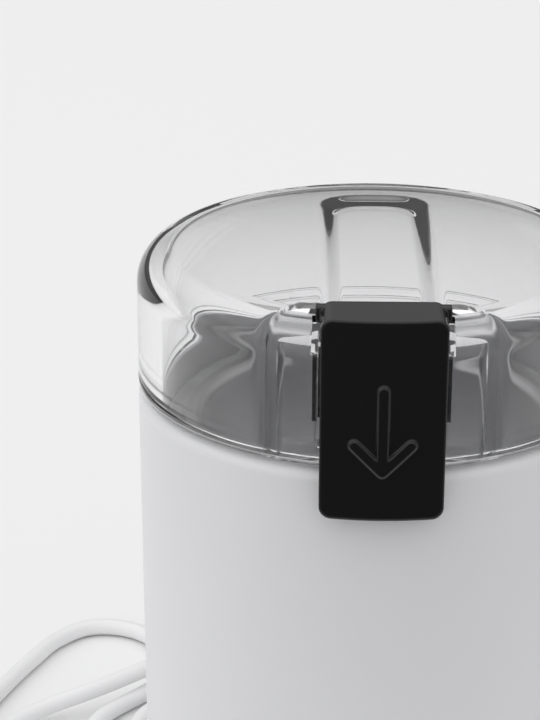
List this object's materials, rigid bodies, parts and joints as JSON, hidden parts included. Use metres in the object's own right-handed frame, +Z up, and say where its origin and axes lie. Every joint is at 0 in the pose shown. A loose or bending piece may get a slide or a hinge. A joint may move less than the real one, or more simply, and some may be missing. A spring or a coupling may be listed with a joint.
{
  "type": "electric spice grinder",
  "caption": "Upright electric spice grinder: round white housing, thick clear lid with a sliding push button, steel bowl with a spinning blade, motor, mains cord and plug.",
  "frame": {"origin": "centre of the foot ring on the table, on the grinder's axis", "axes": "+Z up along the motor's axis, the push button faces -Y, the mains cord leaves at +Y"},
  "size_m": [0.1551, 0.2176, 0.1722],
  "materials": {
    "white_shell": "satin white",
    "foot_rubber": "matte",
    "zinc": "zinc plated",
    "bowl_steel": "drawn and polished",
    "gasket": "matte",
    "seal_black": "moulded",
    "cast_alloy": "die cast",
    "mount_rubber": "matte",
    "lamination_steel": "varnished",
    "copper_wire": "enamelled",
    "bronze": "sintered",
    "brass": "stamped",
    "spring_steel": "drawn wire",
    "carbon": "pressed carbon",
    "capacitor_film": "dipped",
    "switch_black": "moulded",
    "inner_plastic": "moulded",
    "lead_insulation": "extruded",
    "white_pvc": "soft white",
    "plug_brass": "nickel plated",
    "clear_plastic": "clear, polished",
    "gloss_black": "high gloss",
    "shaft_steel": "ground",
    "commutator_copper": "turned",
    "blade_steel": "polished"
  },
  "bodies": {
    "base": {"housing": "white_shell", "base_plate": "white_shell", "foot_ring": "foot_rubber", "base_screws": "zinc", "grinding_bowl": "bowl_steel", "bowl_gasket": "gasket", "shaft_seal": "seal_black", "upper_bracket": "cast_alloy", "lower_bracket": "cast_alloy", "motor_mounts": "mount_rubber", "bracket_screws": "zinc", "motor_bolts": "zinc", "motor_stator": "lamination_steel", "field_coils": "copper_wire", "upper_bearing": "bronze", "lower_bearing": "bronze", "brush_holders": "brass", "brush_springs": "spring_steel", "carbon_brushes": "carbon", "suppression_capacitor": "capacitor_film", "microswitch": "switch_black", "switch_terminals": "zinc", "switch_holder": "switch_black", "plunger_spring": "spring_steel", "strain_relief": "white_pvc", "cord_clamp": "inner_plastic", "clamp_screws": "zinc", "terminal_block": "inner_plastic", "supply_leads": "lead_insulation", "power_cord": "white_pvc", "plug_body": "white_pvc", "plug_pins": "plug_brass"},
    "lid": {"clear_lid": "clear_plastic", "button_spring": "spring_steel"},
    "push_button": {"push_button": "gloss_black"},
    "plunger": {"switch_plunger": "inner_plastic"},
    "lever": {"switch_lever": "spring_steel"},
    "rotor": {"drive_shaft": "shaft_steel", "armature_core": "lamination_steel", "armature_windings": "copper_wire", "commutator": "commutator_copper", "cooling_fan": "inner_plastic", "blade_hub": "seal_black", "blade": "blade_steel", "blade_nut": "blade_steel"}
  },
  "joints": [
    {"name": "lid_lift", "type": "slide", "parent": "base", "child": "lid", "axis": [0, 0, 1], "range_m": [0, 0.09]},
    {"name": "button_press", "type": "slide", "parent": "lid", "child": "push_button", "axis": [0, 0, -1], "range_m": [0, 0.005], "stiffness_N_per_m": 300, "springref_m": -0.002, "deforming": ["button_spring"]},
    {"name": "plunger_slide", "type": "slide", "parent": "base", "child": "plunger", "axis": [0, 0, -1], "range_m": [0, 0.005], "stiffness_N_per_m": 150, "springref_m": -0.002, "deforming": ["plunger_spring"]},
    {"name": "lever_turn", "type": "hinge", "parent": "base", "child": "lever", "pos_m": [-0.016, -0.0332, 0.09114], "axis": [0, 1, 0], "range_deg": [0, 15.1]},
    {"name": "rotor_spin", "type": "hinge", "parent": "base", "child": "rotor", "pos_m": [0, 0, 0.1], "axis": [0, 0, 1], "continuous": true}
  ],
  "couplings": [
    {"joint": "plunger_slide", "follows": "button_press", "ratio": 1},
    {"joint": "lever_turn", "follows": "button_press", "rad_per_m": 52.36}
  ]
}
